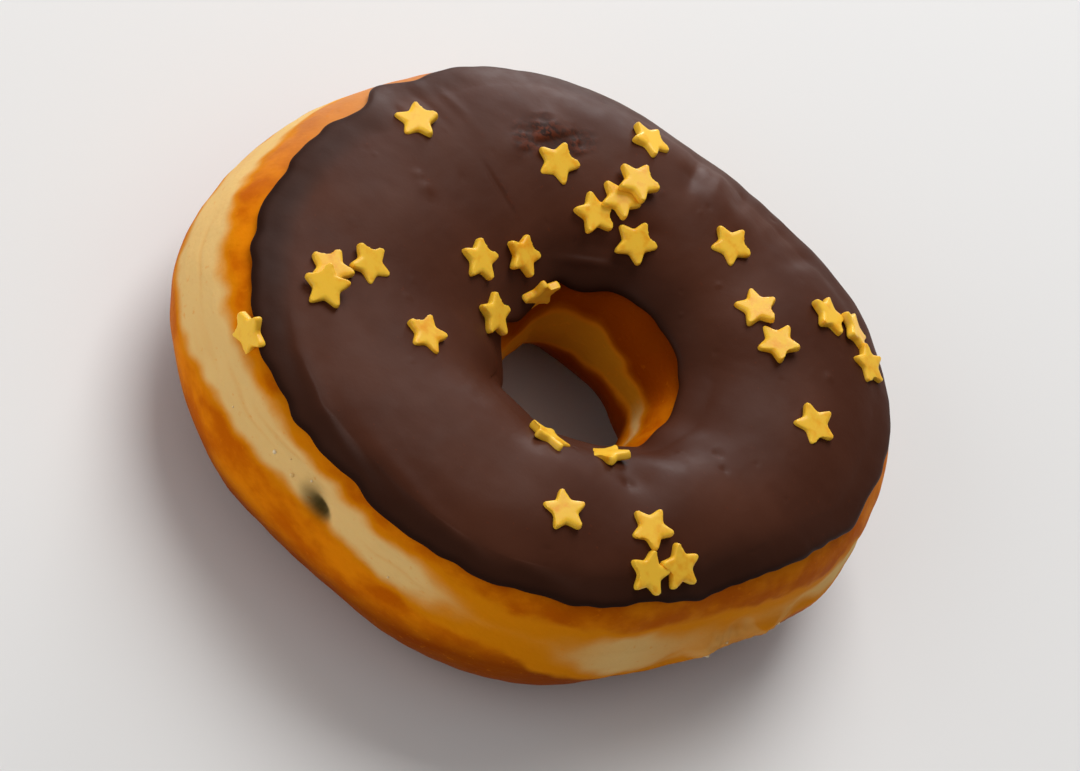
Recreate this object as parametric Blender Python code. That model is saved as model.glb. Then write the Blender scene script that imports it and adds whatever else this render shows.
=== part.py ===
"""Ring doughnut: a fried dough ring under a skin of dark icing with star sprinkles set in it.

Metres, +Z up. The origin is on the table, under the middle of the doughnut's box. Directions
round the ring are degrees about the middle of the hole, counter-clockwise from +X seen from above.
The way across the ring's section is an angle too: 0 is the outermost line, 90 the crest,
180 the wall of the hole and 270 the underside.
"""

import math

import bmesh
import bpy
from mathutils import Matrix, Vector

MM = 0.001

# The dough ring. Each wave is (how many go round, height in mm, direction of a crest).
OUTER_RADIUS = 46.6 * MM
OUTER_WAVES = ((1, 6.0, 165), (2, 3.3, 37), (3, 0.85, 36), (4, 0.75, 33), (5, 0.4, -10))
HOLE_RADIUS = 10.4 * MM
HOLE_WAVES = ((1, 0.75, -156), (2, 0.9, 96), (3, 0.45, 0), (4, 0.25, 41))
CREST_HEIGHT = 28.6 * MM
CREST_WAVES = ((1, 0.8, 18), (2, 1.0, 103))
WIDEST_HEIGHT = 13.3 * MM
BASE_SETTLED = 0.5 * MM
SECTION_HALF_WIDTH = (OUTER_RADIUS - HOLE_RADIUS) / 2

# How full each quarter of the section is: 2 is an ellipse, more is squarer.
FULL_OUTER_TOP = 2.14
FULL_OUTER_BASE = 1.96
FULL_HOLE_TOP = 2.1
FULL_HOLE_BASE = 1.8
SHOULDER_FULLER = 0.7
SHOULDER_AT = 250.0
SHOULDER_SPREAD = 80.0

# The pale belt between the two fried halves is drawn in like a waist.
BELT_HEIGHT = 17.3 * MM
BELT_WAVES = ((1, 1.3, 225),)
BELT_HALF_WIDTH = 2.7 * MM
WAIST_OUTSIDE = 0.6 * MM
WAIST_IN_HOLE = 0.3 * MM

# Low lumps all over the dough: (times round, times across, height in mm, phase).
LUMPS = ((5, 2, 0.30, 20), (8, 3, 0.18, 75), (11, 1, 0.15, 40))

# Broad rises and hollows of the top: (direction, mm from the hole's middle, width and height in mm).
TOP_SWELLS = (
    (142, 45, 8, 0.6),
    (77, 37, 8, -0.8),
    (56, 42, 8, 0.5),
    (306, 20, 4, -0.6),
    (272, 24, 5, 0.3),
    (98, 33, 4, -0.35),
    (86, 32, 4, 0.4),
)

# The torn edge low on one side: (direction, height above the table, width and height in mm).
CRAGS = (
    (325, 11.5, 3.5, -0.9),
    (333, 12.5, 3.0, 0.8),
    (340, 15.5, 3.0, -0.9),
    (348, 13.0, 3.0, 0.7),
    (357, 13.5, 3.5, -0.7),
)

# The dark pit in the belt
PIT_AT = 247.0
PIT_HEIGHT = 18.3 * MM
PIT_HALF_SIZES = (0.9 * MM, 1.9 * MM, 1.1 * MM)
PIT_SLOPE = -25.0

# The icing and its two edges, as heights above the table
GAP = 0.3 * MM
ICING_THICKNESS = 1.2 * MM
DOUGH_UNDER_ICING = 1.0 * MM
OUTER_EDGE_HEIGHT = 23.6 * MM
OUTER_EDGE_WAVES = ((1, 0.6, 225), (7, 0.25, 20), (12, 0.15, 5))
EDGE_NOTCH_AT = 164.0
EDGE_NOTCH_SPREAD = 7.0
EDGE_NOTCH_DEPTH = 1.2 * MM
HOLE_EDGE_HEIGHT = 21.9 * MM
HOLE_EDGE_WAVES = ((1, 0.9, 37), (5, 0.3, 60))
LIP_ROUND = 0.8 * MM
LIP_SHARE = 0.65
LIP_RUN = 5.0 * MM

# Small marks of the icing alone: (direction, mm from the hole's middle, width and height in mm).
ICING_MARKS = (
    (132, 34, 3.5, 0.4),
    (146, 31, 3.0, 0.35),
    (175, 32, 2.5, 0.35),
)

# Star sprinkles: (direction, mm from the hole's middle, turn of a tip, 1 where it lies on another).
STAR_RADIUS = 2.95 * MM
STAR_WAIST = 0.52
STAR_RISE = 1.0 * MM
STAR_SUNK = 0.5 * MM
STAR_STACK = 0.8 * MM
STAR_POINTS = 5
STARS = (
    (163, 39.0, 16, 0),
    (136, 27.1, 27, 0),
    (110, 35.0, 36, 0),
    (112, 26.0, 39, 1),
    (116, 23.5, 34, 0),
    (125, 20.9, 0, 0),
    (106, 18.8, 48, 0),
    (79, 26.8, 60, 0),
    (180, 20.6, 8, 0),
    (159, 17.5, 18, 0),
    (211, 39.6, 46, 1),
    (207, 39.3, 13, 0),
    (203, 34.1, 12, 0),
    (219, 48.4, 34, 0),
    (221, 27.2, 20, 0),
    (194, 15.4, 5, 0),
    (149, 13.2, 68, 0),
    (59, 24.3, 57, 0),
    (46, 25.3, 24, 0),
    (53, 35.0, 47, 0),
    (49, 38.2, 47, 0),
    (41, 39.0, 59, 0),
    (21, 28.9, 35, 0),
    (271, 17.5, 57, 0),
    (295, 16.5, 50, 0),
    (282, 29.9, 46, 0),
    (306, 28.0, 61, 0),
    (306, 33.2, 9, 0),
    (314, 31.8, 28, 0),
)

# How finely the two rings are divided
STEPS_ROUND = 80
DOUGH_STEPS_ACROSS = 32
ICING_STEPS_OVER = 19
ICING_STEPS_UNDER = 15
SLOPE_STEP = 0.01
HALVINGS = 24
SHARP_EDGE = 40.0

CRUST_COLOUR = (0.53, 0.20, 0.025, 1.0)
ICING_COLOUR = (0.062, 0.030, 0.024, 1.0)


def waves(around, rows):
    """Height in metres of rows of waves in this direction."""
    return MM * sum(high * math.cos(count * (around - math.radians(crest))) for count, high, crest in rows)


def ease(value):
    """A smooth step from 0 to 1 as the value goes from 0 to 1."""
    part = min(max(value, 0.0), 1.0)
    return part * part * (3.0 - 2.0 * part)


def nearness(around, centre, spread):
    """1 in the centre direction, easing to 0 at the spread on both sides, in degrees."""
    away = abs((math.degrees(around) - centre + 180.0) % 360.0 - 180.0)
    return 1.0 - ease(away / spread)


def bump(distance, width):
    """A round bump, 1 in the middle and almost 0 one width away."""
    return math.exp(-2.0 * (distance / width) ** 2)


def swells(around, reach, rows):
    """Height of the rises and hollows here, seen from above."""
    total = 0.0
    for direction, middle, width, high in rows:
        turned = around - math.radians(direction)
        distance = math.sqrt(max(reach**2 + (middle * MM) ** 2 - 2 * reach * middle * MM * math.cos(turned), 0))
        total += high * MM * bump(distance, width * MM)
    return total


def crags(around, height, outer):
    """Height of the torn edge's crags here on the outer side."""
    total = 0.0
    for direction, middle, width, high in CRAGS:
        turned = (around - math.radians(direction) + math.pi) % math.tau - math.pi
        total += high * MM * bump(math.hypot(turned * outer, height - middle * MM), width * MM)
    return total


def fullness(around, outside, above):
    """How full the section is in the quarter that this point lies in."""
    if outside < 0:
        return FULL_HOLE_TOP if above > 0 else FULL_HOLE_BASE
    if above < 0:
        return FULL_OUTER_BASE
    return FULL_OUTER_TOP + SHOULDER_FULLER * nearness(around, SHOULDER_AT, SHOULDER_SPREAD)


def swelled(value, full):
    """A cosine or sine pushed out towards a squarer or a slimmer section."""
    return math.copysign(abs(value) ** (2.0 / full), value)


def edge_across(around, in_hole):
    """The angle across the section where the icing ends, outside or in the hole."""
    if in_hole:
        height = HOLE_EDGE_HEIGHT + waves(around, HOLE_EDGE_WAVES)
        full = fullness(around, -1, 1)
    else:
        notch = EDGE_NOTCH_DEPTH * nearness(around, EDGE_NOTCH_AT, EDGE_NOTCH_SPREAD)
        height = OUTER_EDGE_HEIGHT + waves(around, OUTER_EDGE_WAVES) + notch
        full = fullness(around, 1, 1)
    share = (height - WIDEST_HEIGHT) / (CREST_HEIGHT + waves(around, CREST_WAVES) - WIDEST_HEIGHT)
    rise = math.asin(share ** (full / 2.0))
    return math.pi - rise if in_hole else rise


def under_icing(around, across):
    """1 where the icing lies on the dough, easing to 0 at its two edges."""
    start = edge_across(around, False)
    end = edge_across(around, True)
    return ease(min(across - start, end - across) * SECTION_HALF_WIDTH / LIP_RUN)


def dough_point(around, across):
    """A point on the dough, about the middle of the hole."""
    outer = OUTER_RADIUS + waves(around, OUTER_WAVES)
    hole = HOLE_RADIUS + waves(around, HOLE_WAVES)
    crest = CREST_HEIGHT + waves(around, CREST_WAVES)
    outside = math.cos(across)
    above = math.sin(across)
    full = fullness(around, outside, above)
    rise = crest - WIDEST_HEIGHT if above > 0 else WIDEST_HEIGHT + BASE_SETTLED
    reach = (outer + hole) / 2 + (outer - hole) / 2 * swelled(outside, full)
    height = WIDEST_HEIGHT + rise * swelled(above, full)

    waist = WAIST_OUTSIDE if outside > 0 else WAIST_IN_HOLE
    off_belt = height - BELT_HEIGHT - waves(around, BELT_WAVES)
    relief = -waist * bump(off_belt, 1.6 * BELT_HALF_WIDTH)
    for times_round, times_across, high, phase in LUMPS:
        start = math.radians(phase)
        relief += high * MM * math.cos(times_round * around - start) * math.cos(times_across * across + start)
    if above > 0:
        relief += swells(around, reach, TOP_SWELLS) * ease(2 * above)
    if outside > 0:
        relief += crags(around, height, outer) * ease(2 * outside)
    relief -= DOUGH_UNDER_ICING * under_icing(around, across)

    reach += relief * outside
    height = max(height + relief * above, 0.0)
    return Vector((reach * math.cos(around), reach * math.sin(around), height))


def outward(around, across):
    """The direction straight out of the dough at this point."""
    along = dough_point(around + SLOPE_STEP, across) - dough_point(around - SLOPE_STEP, across)
    over = dough_point(around, across + SLOPE_STEP) - dough_point(around, across - SLOPE_STEP)
    return along.cross(over).normalized()


def icing_lift(around, across, edge_distance, on_top):
    """How far a side of the icing stands off the dough, with a round lip at its edge."""
    lip = math.sqrt(1.0 - (1.0 - min(edge_distance / LIP_ROUND, 1.0)) ** 2)
    underside = GAP + (1.0 - lip) * LIP_SHARE * ICING_THICKNESS / 2
    if not on_top:
        return underside
    thick = ICING_THICKNESS * (LIP_SHARE * lip + (1.0 - LIP_SHARE) * ease(edge_distance / LIP_RUN))
    place = dough_point(around, across)
    return underside + thick + lip * swells(around, place.xy.length, ICING_MARKS)


def icing_point(around, share, on_top):
    """A point on the icing: share is 0 at its outer edge and 1 at its edge in the hole."""
    start = edge_across(around, False)
    end = edge_across(around, True)
    across = start + (end - start) * (1.0 - math.cos(math.pi * share)) / 2
    edge_distance = max(min(across - start, end - across) * SECTION_HALF_WIDTH, 0.0)
    lift = icing_lift(around, across, edge_distance, on_top)
    return dough_point(around, across) + outward(around, across) * lift


def coloured(name, colour, roughness):
    """A material with one colour and roughness."""
    material = bpy.data.materials.new(name)
    material.use_nodes = True
    shader = material.node_tree.nodes["Principled BSDF"]
    shader.inputs["Base Color"].default_value = colour
    shader.inputs["Roughness"].default_value = roughness
    shader.inputs["Metallic"].default_value = 0.0
    return material


def add_ring(name, steps_across, place):
    """A torus whose points are moved to place(direction, step across the section)."""
    bpy.ops.mesh.primitive_torus_add(
        major_segments=STEPS_ROUND,
        minor_segments=steps_across,
        major_radius=(OUTER_RADIUS + HOLE_RADIUS) / 2,
        minor_radius=(OUTER_RADIUS - HOLE_RADIUS) / 2,
    )
    ring = bpy.context.object
    ring.name = name
    for index, vertex in enumerate(ring.data.vertices):
        step_round, step_across = divmod(index, steps_across)
        vertex.co = place(math.tau * step_round / STEPS_ROUND, step_across)
    return ring


def make_dough():
    """The fried dough, flat where it rests, with its pit."""
    dough = add_ring(
        "dough",
        DOUGH_STEPS_ACROSS,
        lambda around, step: dough_point(around, math.tau * step / DOUGH_STEPS_ACROSS),
    )
    cut_pit(dough)
    dough.data.materials.append(coloured("crust", CRUST_COLOUR, 0.5))
    return dough


def cut_pit(dough):
    """Cuts the small slanted pit out of the belt."""
    around = math.radians(PIT_AT)
    outer = OUTER_RADIUS + waves(around, OUTER_WAVES)
    rise = CREST_HEIGHT + waves(around, CREST_WAVES) - WIDEST_HEIGHT
    across = math.asin(((PIT_HEIGHT - WIDEST_HEIGHT) / rise) ** (fullness(around, 1, 1) / 2))
    bpy.ops.mesh.primitive_ico_sphere_add(
        subdivisions=1,
        radius=1.0,
        location=dough_point(around, across),
        rotation=(math.radians(PIT_SLOPE), 0, around),
        scale=PIT_HALF_SIZES,
    )
    cutter = bpy.context.object
    cut = dough.modifiers.new("pit", "BOOLEAN")
    cut.operation = "DIFFERENCE"
    cut.object = cutter
    apply_modifier(dough, cut)
    bpy.data.objects.remove(cutter, do_unlink=True)


def apply_modifier(piece, modifier):
    """Applies one modifier of a piece."""
    bpy.ops.object.select_all(action="DESELECT")
    bpy.context.view_layer.objects.active = piece
    piece.select_set(True)
    bpy.ops.object.modifier_apply(modifier=modifier.name)


def icing_ring_point(around, step):
    """The icing's section in steps: over the top from its outer edge, then back underneath."""
    if step < ICING_STEPS_OVER:
        return icing_point(around, step / (ICING_STEPS_OVER - 1), True)
    back = (step - ICING_STEPS_OVER + 1) / (ICING_STEPS_UNDER + 1)
    return icing_point(around, 1.0 - back, False)


def icing_share(around, reach):
    """How far over the icing a point lies that is this far from the hole's middle."""
    low = 0.0
    high = 1.0
    for _ in range(HALVINGS):
        middle = (low + high) / 2
        if icing_point(around, middle, True).xy.length > reach:
            low = middle
        else:
            high = middle
    return (low + high) / 2


def star_mesh(name, turn):
    """A flat star with its underside at zero, one tip turned this many degrees from +X."""
    shape = bmesh.new()
    corners = []
    for corner in range(2 * STAR_POINTS):
        radius = STAR_RADIUS * (STAR_WAIST if corner % 2 else 1.0)
        angle = math.radians(turn) + math.pi * corner / STAR_POINTS
        corners.append(shape.verts.new((radius * math.cos(angle), radius * math.sin(angle), 0.0)))
    raised = bmesh.ops.extrude_face_region(shape, geom=[shape.faces.new(corners)])
    top = [item for item in raised["geom"] if isinstance(item, bmesh.types.BMVert)]
    bmesh.ops.translate(shape, verts=top, vec=(0, 0, STAR_RISE + STAR_SUNK))
    bmesh.ops.recalc_face_normals(shape, faces=shape.faces)
    mesh = bpy.data.meshes.new(name)
    shape.to_mesh(mesh)
    shape.free()
    return mesh


def add_star(number, direction, reach, turn, level):
    """One star sprinkle, lying flat on the icing and pressed a little into it."""
    around = math.radians(direction)
    share = icing_share(around, reach * MM)
    along = icing_point(around + SLOPE_STEP, share, True) - icing_point(around - SLOPE_STEP, share, True)
    over = icing_point(around, share + SLOPE_STEP, True) - icing_point(around, share - SLOPE_STEP, True)
    normal = along.cross(over).normalized()
    along = (along - normal * along.dot(normal)).normalized()
    frame = Matrix((along, normal.cross(along), normal)).transposed().to_4x4()
    frame.translation = icing_point(around, share, True) + normal * (STAR_STACK * level - STAR_SUNK)
    name = f"star_{number}"
    star = bpy.data.objects.new(name, star_mesh(name, turn))
    star.matrix_world = frame
    return star


def make_icing():
    """The icing with every star joined to it."""
    icing = add_ring("icing", ICING_STEPS_OVER + ICING_STEPS_UNDER, icing_ring_point)
    stars = bpy.data.collections.new("stars")
    bpy.context.scene.collection.children.link(stars)
    for number, row in enumerate(STARS):
        stars.objects.link(add_star(number, *row))
    joined = icing.modifiers.new("stars", "BOOLEAN")
    joined.operation = "UNION"
    joined.solver = "MANIFOLD"
    joined.operand_type = "COLLECTION"
    joined.collection = stars
    apply_modifier(icing, joined)
    for star in list(stars.objects):
        bpy.data.objects.remove(star, do_unlink=True)
    bpy.data.collections.remove(stars)
    icing.data.materials.append(coloured("icing", ICING_COLOUR, 0.45))
    return icing


def stand_on_origin(pieces):
    """Moves the pieces so that their box stands on the origin."""
    points = [vertex.co for piece in pieces for vertex in piece.data.vertices]
    low = Vector(min(point[axis] for point in points) for axis in range(3))
    high = Vector(max(point[axis] for point in points) for axis in range(3))
    middle = (low + high) / 2
    for piece in pieces:
        piece.data.transform(Matrix.Translation((-middle.x, -middle.y, -low.z)))


def shade(piece):
    """Smooth all over, apart from the stars' sharp edges."""
    piece.data.shade_smooth()
    piece.data.set_sharp_from_angle(angle=math.radians(SHARP_EDGE))


def main():
    """Makes the doughnut in an empty scene."""
    for leftover in list(bpy.data.objects):
        bpy.data.objects.remove(leftover, do_unlink=True)
    pieces = (make_dough(), make_icing())
    stand_on_origin(pieces)
    for piece in pieces:
        shade(piece)


main()
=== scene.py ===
"""An iced ring doughnut with star sprinkles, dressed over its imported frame.

Lengths are metres, +Z is up and the doughnut rests on the floor at z = 0. Directions round the ring
are degrees about the middle of the hole, counter-clockwise from +X seen from above. The way across
the ring's section is an angle too: 0 is the outermost line, 90 the crest, 180 the wall of the hole
and 270 the underside.
"""

import math

import bmesh
import bpy
import numpy as np
from mathutils import Matrix, Vector


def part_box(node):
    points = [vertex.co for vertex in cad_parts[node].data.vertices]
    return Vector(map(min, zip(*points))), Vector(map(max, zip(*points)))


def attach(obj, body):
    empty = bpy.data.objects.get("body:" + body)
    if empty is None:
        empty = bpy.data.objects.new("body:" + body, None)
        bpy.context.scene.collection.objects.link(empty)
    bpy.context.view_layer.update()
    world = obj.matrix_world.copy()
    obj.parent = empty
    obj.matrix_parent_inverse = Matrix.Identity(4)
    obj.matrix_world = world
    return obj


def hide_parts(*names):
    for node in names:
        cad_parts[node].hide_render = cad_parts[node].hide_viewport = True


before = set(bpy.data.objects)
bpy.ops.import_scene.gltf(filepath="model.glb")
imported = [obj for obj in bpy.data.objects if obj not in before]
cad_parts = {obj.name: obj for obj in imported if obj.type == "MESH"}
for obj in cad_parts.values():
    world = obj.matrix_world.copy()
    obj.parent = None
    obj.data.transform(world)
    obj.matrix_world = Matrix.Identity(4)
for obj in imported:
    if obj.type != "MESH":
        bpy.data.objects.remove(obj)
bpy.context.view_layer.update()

bl_info = {
    "name": "Iced Ring Doughnut",
    "version": (1, 0, 0),
    "blender": (4, 5, 0),
    "location": "View3D > Sidebar > Doughnut",
    "description": "Adds a fried ring doughnut with dark icing, star sprinkles and a pale floor",
    "category": "Add Mesh",
}

MM = 0.001

# The dough ring's form. Each wave is (how many go round, height in mm, direction of a crest).
OUTER_WAVES = ((1, 6.0, 165), (2, 3.3, 37), (3, 0.85, 36), (4, 0.75, 33), (5, 0.4, -10))
HOLE_WAVES = ((1, 0.75, -156), (2, 0.9, 96), (3, 0.45, 0), (4, 0.25, 41))
CREST_WAVES = ((1, 0.8, 18), (2, 1.0, 103))
WIDEST_HEIGHT = 13.3 * MM
BASE_SETTLED = 0.5 * MM
FULL_OUTER_TOP = 2.14
FULL_OUTER_BASE = 1.96
FULL_HOLE_TOP = 2.1
FULL_HOLE_BASE = 1.8
SHOULDER_FULLER = 0.7
SHOULDER_AT = 250.0
SHOULDER_SPREAD = 80.0
LUMPS = ((5, 2, 0.30, 20), (8, 3, 0.18, 75), (11, 1, 0.15, 40))

# Broad rises and hollows of the top: (direction, mm from the hole's middle, width and height in mm).
TOP_SWELLS = (
    (142, 45, 8, 0.6),
    (77, 37, 8, -0.8),
    (56, 42, 8, 0.5),
    (306, 20, 4, -0.6),
    (272, 24, 5, 0.3),
    (98, 33, 4, -0.35),
    (86, 32, 4, 0.4),
)

# The pale belt between the two fried halves: its waist, and its two edges as heights above the floor.
WAIST_HEIGHT = 17.3 * MM
WAIST_WAVES = ((1, 1.3, 225),)
WAIST_WIDTH = 4.3 * MM
WAIST_OUTSIDE = 0.6 * MM
WAIST_IN_HOLE = 0.3 * MM
BELT_TOP = 20.7 * MM
BELT_TOP_WAVES = ((1, 1.3, 233), (2, 0.9, 78), (3, 0.4, -14))
BELT_FOOT = 13.6 * MM
BELT_FOOT_WAVES = ((1, 1.4, 180), (2, 1.2, 64), (3, 1.0, 16), (4, 0.5, -15))
BELT_DIPS = ((207, 16, -1.2), (183, 22, -0.7), (284, 22, 1.8), (325, 28, -3.0))
BELT_TOP_IN_HOLE = 17.8 * MM
BELT_FOOT_IN_HOLE = 11.4 * MM
BELT_FOOT_WAVES_IN_HOLE = ((1, 2.6, -2),)
BELT_DIPS_IN_HOLE = ((335, 46, -2.4),)
BELT_WOBBLE = 0.45 * MM
CREASE_DEPTH = 0.07 * MM

# Relief of the crust and the belt, and the shortest and longest waves that make it up.
CRUST_RELIEF = 0.06 * MM
CRUST_LENGTHS = (3 * MM, 12 * MM)
BELT_SUNK = 0.10 * MM
BELT_LENGTHS = (1.6 * MM, 5 * MM)
BELT_STRETCH = (7, 7, 1)
WOBBLE_LENGTHS = (3 * MM, 14 * MM)

# Fine creases along the belt: (direction, spread, height in mm), their depth, width and drift.
BELT_CREASES = ((229, 13, 19.6), (237, 12, 21.0), (204, 16, 18.0), (262, 12, 19.4))
BELT_CREASE_DEPTH = 0.07 * MM
BELT_CREASE_WIDTH = 0.45 * MM
BELT_CREASE_DRIFT = 0.5 * MM

# Where the belt turns amber: (direction, spread, share).
AMBER = ((286, 26, 1.0), (338, 40, 0.85))

# Where the crust is darker: (direction, spread, share). It is darker all round below a height,
# which rises or falls by steps of (direction, spread, height in mm) and fades over a few millimetres.
DEEPER = ((338, 45, 0.25), (290, 35, 0.15))
DEEPER_BELOW = 12.5 * MM
DEEPER_STEPS = ((290, 44, 4.5),)
# Painted shade in the hole: (direction, spread, share), then the height below which it fills in and its
# steps.
HOLE_SHADE = ((78, 76, 1.2), (146, 76, 1.3))
HOLE_SHADE_BELOW = 15.0 * MM
HOLE_SHADE_STEPS = ((335, 50, -5.0),)
DEEPER_FADE = 6.0 * MM

# Where a painted sheen lies on the crust above the belt: (direction, spread, share).
SHEEN_ABOVE_BELT = ((158, 40, 1.0),)

# The torn edge: (direction, height above the floor, width and height in mm).
CRAGS = (
    (325, 11.5, 3.5, -0.9),
    (333, 12.5, 3.0, 0.8),
    (340, 15.5, 3.0, -0.9),
    (348, 13.0, 3.0, 0.7),
    (357, 13.5, 3.5, -0.7),
)
TORN_AT = 341.0
TORN_SPREAD = 30.0
TORN_HEIGHT = 12.0 * MM
TORN_HALF_HEIGHT = 4.0 * MM
TORN_RAGGED = 1.2 * MM
TORN_RISE = 0.38 * MM
TORN_SUNK = 0.21 * MM

# The dark pit in the belt, with a stain that trails off up and to one side.
PIT_AT = 247.0
PIT_HEIGHT = 18.3 * MM
PIT_LONG = 2.6 * MM
PIT_SHORT = 1.5 * MM
PIT_DEPTH = 1.1 * MM
PIT_SLOPE = 25.0
STAIN_AT = 245.8
STAIN_HEIGHT = 18.9 * MM
STAIN_LONG = 3.6 * MM
STAIN_SHORT = 2.3 * MM

# The icing's edges and lip.
GAP = 0.3 * MM
DOUGH_UNDER_ICING = 1.0 * MM
OUTER_EDGE_HEIGHT = 23.9 * MM
OUTER_EDGE_WAVES = ((1, 0.3, -36), (2, 0.32, -76), (3, 0.16, -44))
HOLE_EDGE_HEIGHT = 22.5 * MM
HOLE_EDGE_WAVES = ((1, 0.5, -10), (2, 0.56, 67), (3, 0.4, -35))
EDGE_RIPPLE = 0.10 * MM
LIP_ROUND = 0.8 * MM
LIP_SHARE = 0.65
LIP_RUN = 5.0 * MM
EDGE_SEED = 31
EDGE_TIMES = ((19, 23, 31, 37, 47, 59, 71), (7, 9))

# Painted shade on the icing: it is darkened at its rim and on its outer side, from a flat width to a full one
# that local steps widen, most in one direction and least opposite it. In the hole the painted shade lies on
# the shaded side.
RIM_WIDTH = 1.4 * MM
RIM_SHARE = 0.3
SIDE_FLAT = 2.0 * MM
SIDE_WIDTH = 6.0 * MM
SIDE_WIDER = ((318, 48, 4.5), (236, 40, 1.5))
SIDE_AT = 262.0
SIDE_SPREAD = 150.0
SIDE_GAIN = 1.8
SIDE_LEAST = 0.2
SIDE_WIDTH_IN_HOLE = 10.0 * MM
SHADED_AT = 110.0
SHADED_SPREAD = 110.0

# Where the icing ran lower or stopped short: (direction, spread, mm up), outside and then in the hole.
OUTER_EDGE_STEPS = (
    (7, 8, -0.6),
    (159, 6, -0.9),
    (167, 6, 0.6),
    (210, 11, 0.2),
    (224, 3, -0.2),
    (235, 4, -0.3),
    (246, 8, 0.2),
    (283, 11, 0.3),
    (305, 8, 0.3),
    (321, 11, -0.6),
    (336, 8, 0.3),
    (350, 15, 0.3),
)
HOLE_EDGE_STEPS = (
    (42, 11, -0.2),
    (81, 11, 0.2),
    (121, 15, -0.5),
    (142, 14, 0.7),
    (173, 26, -1.5),
    (214, 32, -6.5),
)

# Faint unevenness all over the icing: two heights, each with its shortest and longest waves.
ICING_SWELL = 0.06 * MM
ICING_SWELL_LENGTHS = (8 * MM, 22 * MM)
ICING_GRAIN = 0.012 * MM
ICING_GRAIN_LENGTHS = (1.5 * MM, 5 * MM)

# Tiny pits and pimples: how many, out to where, and their least and greatest width and height.
PINHOLES = 70
PINHOLE_REACH = 44 * MM
PINHOLE_WIDTHS = (0.25, 0.6)
PINHOLE_HEIGHTS = (0.04, 0.13)
PINHOLE_PIT_SHARE = 0.6

# Small round marks of the icing: (direction, mm from the hole's middle, width and height in mm).
ICING_MARKS = (
    (132, 34, 3.5, 0.4),
    (146, 31, 3.0, 0.35),
    (175, 31.7, 1.6, 0.35),
    (173, 33.4, 1.2, 0.25),
    (302, 21.5, 1.3, -0.3),
    (349, 19.5, 0.9, -0.2),
    (344, 21.5, 0.7, -0.2),
    (37, 31.7, 0.8, 0.2),
)

# Folds that run outwards: (direction, from and to in mm from the hole's middle, width and height in mm).
FOLDS_OUT = (
    (97, 27, 42, 1.6, -0.35),
    (91, 28, 43, 1.5, 0.25),
    (85, 28, 44, 1.8, -0.35),
    (77, 30, 44, 2.0, 0.20),
    (68, 30, 44, 2.2, -0.30),
    (155, 22, 32, 0.5, -0.18),
    (151, 34, 45, 1.2, 0.14),
    (156, 34, 46, 1.0, -0.12),
    (161, 33, 45, 1.3, 0.12),
    (118, 15, 24, 1.5, -0.20),
    (270, 18, 24, 1.2, 0.18),
)

# Folds that run round the hole: (direction, spread, mm from the hole's middle, width and height in mm).
FOLDS_ROUND = (
    (124, 26, 16.6, 0.9, 0.35),
    (118, 24, 18.6, 1.1, -0.30),
    (104, 14, 21.8, 1.6, -0.22),
    (236, 26, 44.4, 1.7, 0.45),
    (261, 26, 40.8, 1.8, 0.5),
    (286, 24, 38.3, 1.8, 0.4),
)

# The wrinkled patch where the icing is thin.
PATCH_AT = 134.0
PATCH_REACH = 32.0 * MM
PATCH_LONG = 6.0 * MM
PATCH_SHORT = 4.0 * MM
PATCH_CRINKLE = 0.3 * MM
PATCH_LUMPS = (1.5 * MM, 4.0 * MM)

# A faint scratch that shows the crust's red.
SCRATCH_AT = 153.5
SCRATCH_REACH = 25.0 * MM
SCRATCH_HALF_LENGTH = 5.0 * MM
SCRATCH_WIDTH = 0.45 * MM

# Star sprinkles: their section, how they are rounded and sunk, and then one row for each (direction,
# way across, turn of a tip, 1 where it lies on another, lean along the ring, lean towards the hole),
# all but the fourth in degrees.
STAR_WAIST = 0.49
STAR_SHARPER = 1.2
STAR_TIP_ROUND = 1.0 * MM
STAR_RIM_ROUND = 0.28 * MM
STAR_PILLOW = ((0.40 * MM, 0.06 * MM), (0.40 * MM, 0.03 * MM))
STAR_GRID = 0.16 * MM
STAR_SMOOTHINGS = 4
STAR_SUNK = 0.35 * MM
STAR_STACK = 0.8 * MM
STAR_POINTS = 5
STAR_REST = 0.06
STARS = (
    (161.5, 66, 16, 0, 12, 0),
    (134.1, 97, 28, 0, 8, 13),
    (109.4, 73, 41, 0, -8, 2),
    (111.5, 99, 46, 1, -3, -4),
    (115.4, 108, 42, 0, -5, -8),
    (123.3, 117.5, 4, 0, -10, -8),
    (105.8, 122, 55, 0, -1, -4),
    (79.6, 93, 59, 0, -1, 15),
    (179.8, 118.3, 8, 0, 6, 0),
    (158.3, 129, 9, 0, -13, 1),
    (212.2, 74, 27, 1, 20, -10),
    (207.4, 76, 19, 0, 8, -5),
    (203.1, 87, 15, 0, 10, 10),
    (219.9, 41, 24, 0, 10, -40),
    (220.6, 104.5, 15, 0, 10, -4),
    (190.4, 139.5, 13, 0, -9, 1),
    (153.5, 146.5, 65, 0, 10, 36),
    (58.2, 103, 57, 0, 6, 7),
    (46.0, 100, 29, 0, 9, 13),
    (52.9, 74, 46, 0, -3, -8),
    (50.2, 61, 46, 0, -3, -13),
    (43.2, 57, 16, 0, -8, 4),
    (21.2, 85, 46, 0, -13, 2),
    (270.0, 121, 15, 0, 10, 3),
    (297.3, 127, 41, 0, -20, 12),
    (281.9, 83, 33, 0, -8, -1),
    (306.5, 79, 49, 0, -8, 0),
    (305.6, 56, 2, 0, 0, 1),
    (313.7, 59, 23, 0, 1, 5),
)

# Tiny crumbs stuck to the belt: (direction, height and size in mm).
CRUMBS = (
    (236.8, 18.9, 0.30),
    (241.0, 18.7, 0.32),
    (239.2, 20.1, 0.16),
    (243.6, 20.3, 0.18),
    (228.0, 17.6, 0.16),
    (262.0, 17.1, 0.18),
    (333.0, 11.6, 0.34),
    (338.0, 12.4, 0.28),
    (352.0, 12.2, 0.30),
)

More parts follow.
